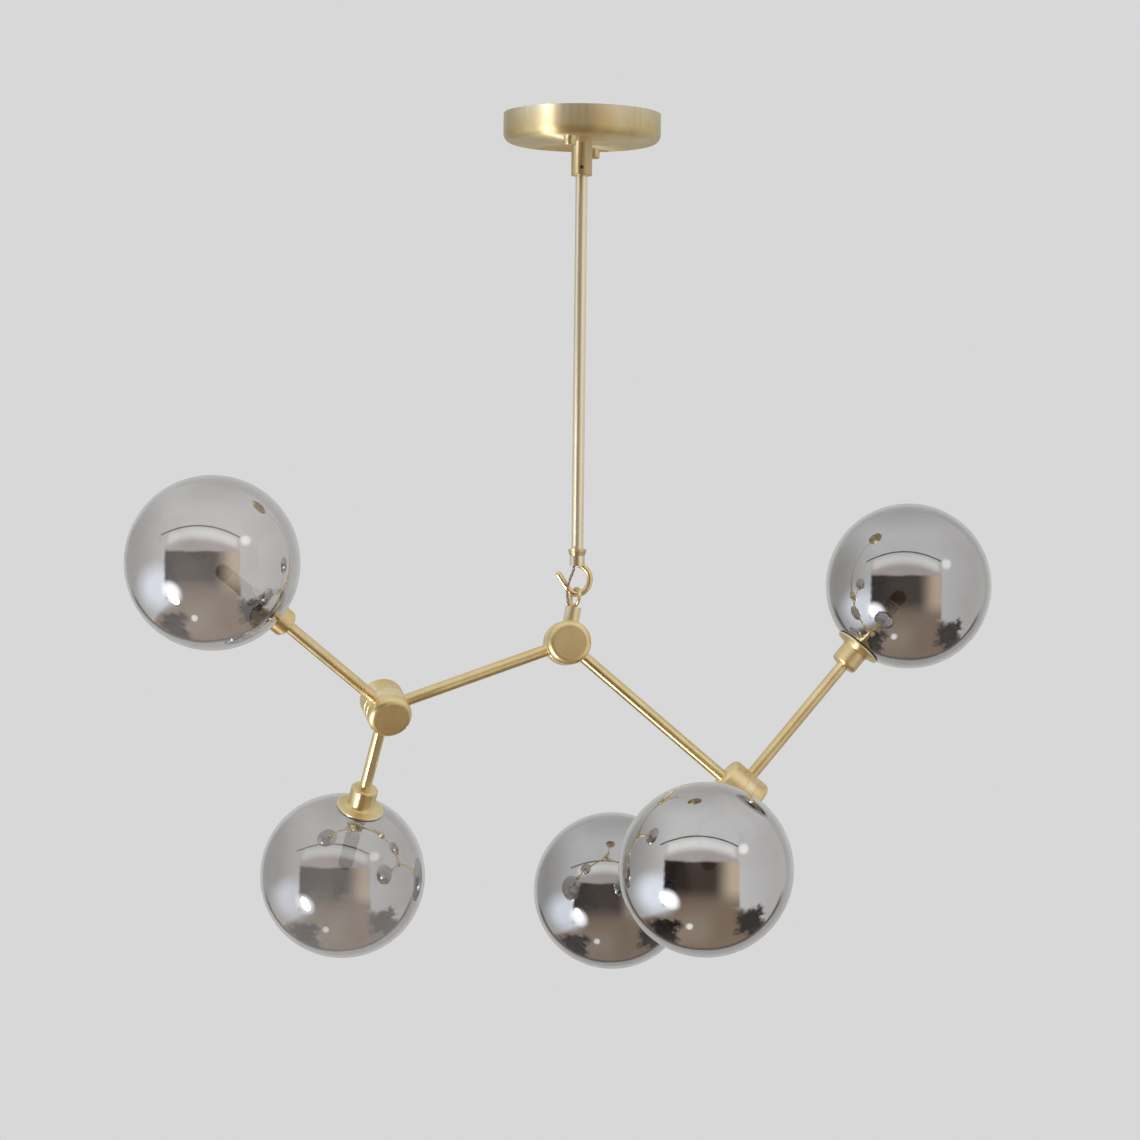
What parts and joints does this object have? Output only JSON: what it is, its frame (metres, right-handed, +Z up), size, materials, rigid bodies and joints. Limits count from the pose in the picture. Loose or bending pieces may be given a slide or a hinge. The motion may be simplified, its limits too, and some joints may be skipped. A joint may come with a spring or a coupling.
{
  "type": "branch chandelier",
  "caption": "Branch chandelier: smoked glass globes on a satin brass branch of tubes and round hubs, hung by a loop from a hooked stem under a round canopy.",
  "frame": {"origin": "on the ceiling plane, on the stem's axis, at the middle of the ceiling strap's upper face", "axes": "+Z up along the stem, +X to the right as the chandelier is seen in the picture, -Y towards the viewer"},
  "size_m": [0.7125, 0.4858, 0.7451],
  "materials": {
    "satin_brass": "satin",
    "zinc_steel": "satin",
    "green_screw": "gloss",
    "socket_ceramic": "matte",
    "clear_glass": "gloss",
    "smoked_glass": "gloss",
    "black_rubber": "matte",
    "clear_wire": "gloss"
  },
  "bodies": {
    "root": {"ceiling_strap": "zinc_steel", "stud_strap": "zinc_steel", "ground_screw": "green_screw", "canopy_studs": "zinc_steel", "nipple": "zinc_steel", "nipple_nuts": "zinc_steel", "stem_coupling": "satin_brass", "coupling_screw": "zinc_steel", "stem": "satin_brass", "hook_lock_ring": "satin_brass"},
    "canopy_body": {"canopy": "satin_brass", "cap_nuts": "satin_brass"},
    "hook_body": {"hook": "satin_brass", "supply_wire": "clear_wire"},
    "branch": {"loop": "satin_brass", "centre_hub_back": "satin_brass", "centre_hub_ring": "satin_brass", "centre_hub_cap": "satin_brass", "left_hub_back": "satin_brass", "left_hub_ring": "satin_brass", "left_hub_cap": "satin_brass", "right_hub_back": "satin_brass", "right_hub_ring": "satin_brass", "right_hub_cap": "satin_brass", "hub_screws": "zinc_steel", "arm_centre_left": "satin_brass", "arm_centre_right": "satin_brass", "arm_1": "satin_brass", "arm_2": "satin_brass", "arm_3": "satin_brass", "arm_4": "satin_brass", "arm_5": "satin_brass", "holder_1": "satin_brass", "holder_2": "satin_brass", "holder_3": "satin_brass", "holder_4": "satin_brass", "holder_5": "satin_brass", "socket_1": "socket_ceramic", "socket_2": "socket_ceramic", "socket_3": "socket_ceramic", "socket_4": "socket_ceramic", "socket_5": "socket_ceramic", "bulb_1": "clear_glass", "bulb_2": "clear_glass", "bulb_3": "clear_glass", "bulb_4": "clear_glass", "bulb_5": "clear_glass", "globe_gaskets": "black_rubber"},
    "globe_1_body": {"globe_1": "smoked_glass", "globe_collar_1": "satin_brass"},
    "globe_2_body": {"globe_2": "smoked_glass", "globe_collar_2": "satin_brass"},
    "globe_3_body": {"globe_3": "smoked_glass", "globe_collar_3": "satin_brass"},
    "globe_4_body": {"globe_4": "smoked_glass", "globe_collar_4": "satin_brass"},
    "globe_5_body": {"globe_5": "smoked_glass", "globe_collar_5": "satin_brass"}
  },
  "joints": [
    {"name": "canopy_drop", "type": "slide", "parent": "root", "child": "canopy_body", "axis": [0, 0, -1], "range_m": [0, 0.08]},
    {"name": "hook_turn", "type": "hinge", "parent": "root", "child": "hook_body", "pos_m": [0, 0, -0.376], "axis": [0, 0, 1], "range_deg": [-90, 90]},
    {"name": "swing", "type": "hinge", "parent": "hook_body", "child": "branch", "pos_m": [0, 0, -0.402], "axis": [1, 0, 0], "range_deg": [-25, 25], "deforming": ["supply_wire"]},
    {"name": "globe_1_turn", "type": "hinge", "parent": "branch", "child": "globe_1_body", "pos_m": [-0.2909, -0.14449, -0.38085], "axis": [-0.6235, -0.5557, 0.55], "range_deg": [-180, 180]},
    {"name": "globe_2_turn", "type": "hinge", "parent": "branch", "child": "globe_2_body", "pos_m": [-0.19669, 0.04607, -0.64388], "axis": [-0.233, 0.4306, -0.8719], "range_deg": [-180, 180]},
    {"name": "globe_3_turn", "type": "hinge", "parent": "branch", "child": "globe_3_body", "pos_m": [0.28164, 0.03784, -0.39203], "axis": [0.6324, 0.1208, 0.7652], "range_deg": [-180, 180]},
    {"name": "globe_4_turn", "type": "hinge", "parent": "branch", "child": "globe_4_body", "pos_m": [0.03497, 0.20132, -0.66713], "axis": [-0.4306, 0.7971, -0.4234], "range_deg": [-180, 180]},
    {"name": "globe_5_turn", "type": "hinge", "parent": "branch", "child": "globe_5_body", "pos_m": [0.1054, -0.13827, -0.6211], "axis": [-0.2018, -0.9179, -0.3418], "range_deg": [-180, 180]}
  ]
}
